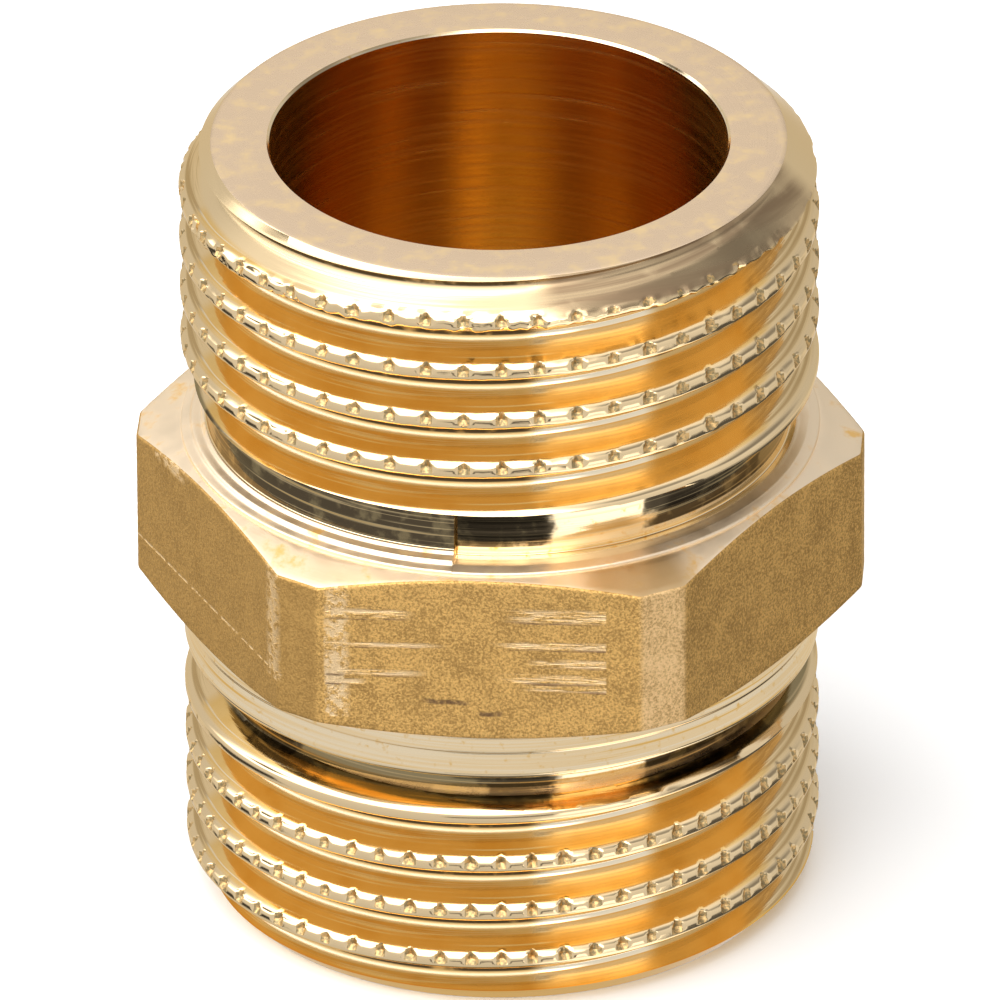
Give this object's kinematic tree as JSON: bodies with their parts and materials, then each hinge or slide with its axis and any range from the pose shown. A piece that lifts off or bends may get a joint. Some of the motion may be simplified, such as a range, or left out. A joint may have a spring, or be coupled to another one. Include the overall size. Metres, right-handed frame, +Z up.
{
  "type": "hex nipple",
  "caption": "Short brass pipe nipple: a hexagon between male parallel pipe threads with serrated crests, end chamfers, turned reliefs and an open through bore.",
  "frame": {"origin": "centre of the lower end face, on the axis of the bore, which the part stands on", "axes": "+Z up the bore from the lower end to the upper end, -Y out of the hexagon's front flat, +X to the right"},
  "size_m": [0.024, 0.0214, 0.027],
  "materials": {
    "turned_brass": "gloss",
    "bright_brass": "polished",
    "blasted_brass": "satin"
  },
  "bodies": {
    "root": {"lower_thread": "turned_brass", "lower_neck": "bright_brass", "hex_collar": "blasted_brass", "upper_neck": "bright_brass", "upper_thread": "turned_brass"}
  },
  "joints": []
}
